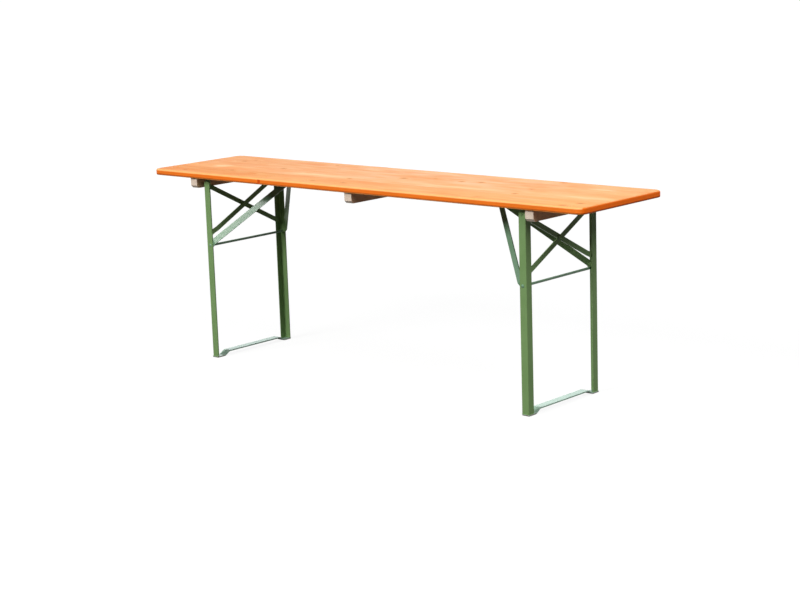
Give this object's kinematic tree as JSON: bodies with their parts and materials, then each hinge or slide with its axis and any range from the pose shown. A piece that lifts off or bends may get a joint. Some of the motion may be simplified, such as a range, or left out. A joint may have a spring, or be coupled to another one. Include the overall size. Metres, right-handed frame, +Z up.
{
  "type": "folding trestle table",
  "caption": "Long narrow folding table: lacquered softwood top on hinged angle-steel leg frames that fold flat underneath, each locked by a pair of flat struts in a sprung catch.",
  "frame": {"origin": "on the floor under the middle of the top", "axes": "+X along the table, +Y across it towards the back, +Z up"},
  "size_m": [2.2, 0.5, 0.78],
  "materials": {
    "lacquered_spruce": "clear gloss lacquer, orange tone",
    "raw_spruce": "raw planed",
    "green_paint": "gloss powder coat",
    "zinc_steel": "zinc plated"
  },
  "bodies": {
    "table": {"top_board_front_left": "lacquered_spruce", "top_board_front_right": "lacquered_spruce", "top_board_second": "lacquered_spruce", "top_board_third": "lacquered_spruce", "top_board_back": "lacquered_spruce", "batten_left": "raw_spruce", "batten_middle": "raw_spruce", "batten_right": "raw_spruce", "batten_screws": "zinc_steel", "hinge_bracket_left_front": "green_paint", "hinge_bracket_left_back": "green_paint", "hinge_bracket_right_front": "green_paint", "hinge_bracket_right_back": "green_paint", "bracket_screws": "zinc_steel", "catch_plate_left": "zinc_steel", "catch_plate_right": "zinc_steel", "spring_root_left": "zinc_steel", "spring_root_right": "zinc_steel", "catch_screws": "zinc_steel"},
    "leg_frame_left": {"leg_left_front": "green_paint", "leg_left_back": "green_paint", "brace_left_straight": "green_paint", "brace_left_joggled": "green_paint", "brace_rivet_left": "green_paint", "foot_bar_left": "green_paint", "cross_rod_left": "green_paint", "pivot_rivets_left": "green_paint"},
    "strut_pair_left": {"strut_left_front": "green_paint", "strut_left_back": "green_paint", "lock_pin_left": "zinc_steel"},
    "latch_left": {"spring_tongue_left": "zinc_steel"},
    "leg_frame_right": {"leg_right_front": "green_paint", "leg_right_back": "green_paint", "brace_right_straight": "green_paint", "brace_right_joggled": "green_paint", "brace_rivet_right": "green_paint", "foot_bar_right": "green_paint", "cross_rod_right": "green_paint", "pivot_rivets_right": "green_paint"},
    "strut_pair_right": {"strut_right_front": "green_paint", "strut_right_back": "green_paint", "lock_pin_right": "zinc_steel"},
    "latch_right": {"spring_tongue_right": "zinc_steel"}
  },
  "joints": [
    {"name": "leg_fold_left", "type": "hinge", "parent": "table", "child": "leg_frame_left", "pos_m": [-0.8115, 0, 0.7315], "axis": [0, -1, 0], "range_deg": [0, 90]},
    {"name": "strut_turn_left", "type": "hinge", "parent": "leg_frame_left", "child": "strut_pair_left", "pos_m": [-0.8115, 0, 0.475], "axis": [0, 1, 0], "range_deg": [0, 134.64]},
    {"name": "latch_press_left", "type": "hinge", "parent": "table", "child": "latch_left", "pos_m": [-0.4893, 0, 0.75155], "axis": [0, 1, 0], "range_deg": [0, 9], "stiffness_Nm_per_rad": 2, "springref_deg": -2.86},
    {"name": "leg_fold_right", "type": "hinge", "parent": "table", "child": "leg_frame_right", "pos_m": [0.8115, 0, 0.7315], "axis": [0, 1, 0], "range_deg": [0, 90]},
    {"name": "strut_turn_right", "type": "hinge", "parent": "leg_frame_right", "child": "strut_pair_right", "pos_m": [0.8115, 0, 0.475], "axis": [0, -1, 0], "range_deg": [0, 134.64]},
    {"name": "latch_press_right", "type": "hinge", "parent": "table", "child": "latch_right", "pos_m": [0.4893, 0, 0.75155], "axis": [0, -1, 0], "range_deg": [0, 9], "stiffness_Nm_per_rad": 2, "springref_deg": -2.86}
  ],
  "couplings": [
    {"joint": "strut_turn_left", "follows": "leg_fold_left", "ratio": 1.4959},
    {"joint": "strut_turn_right", "follows": "leg_fold_right", "ratio": 1.4959}
  ]
}
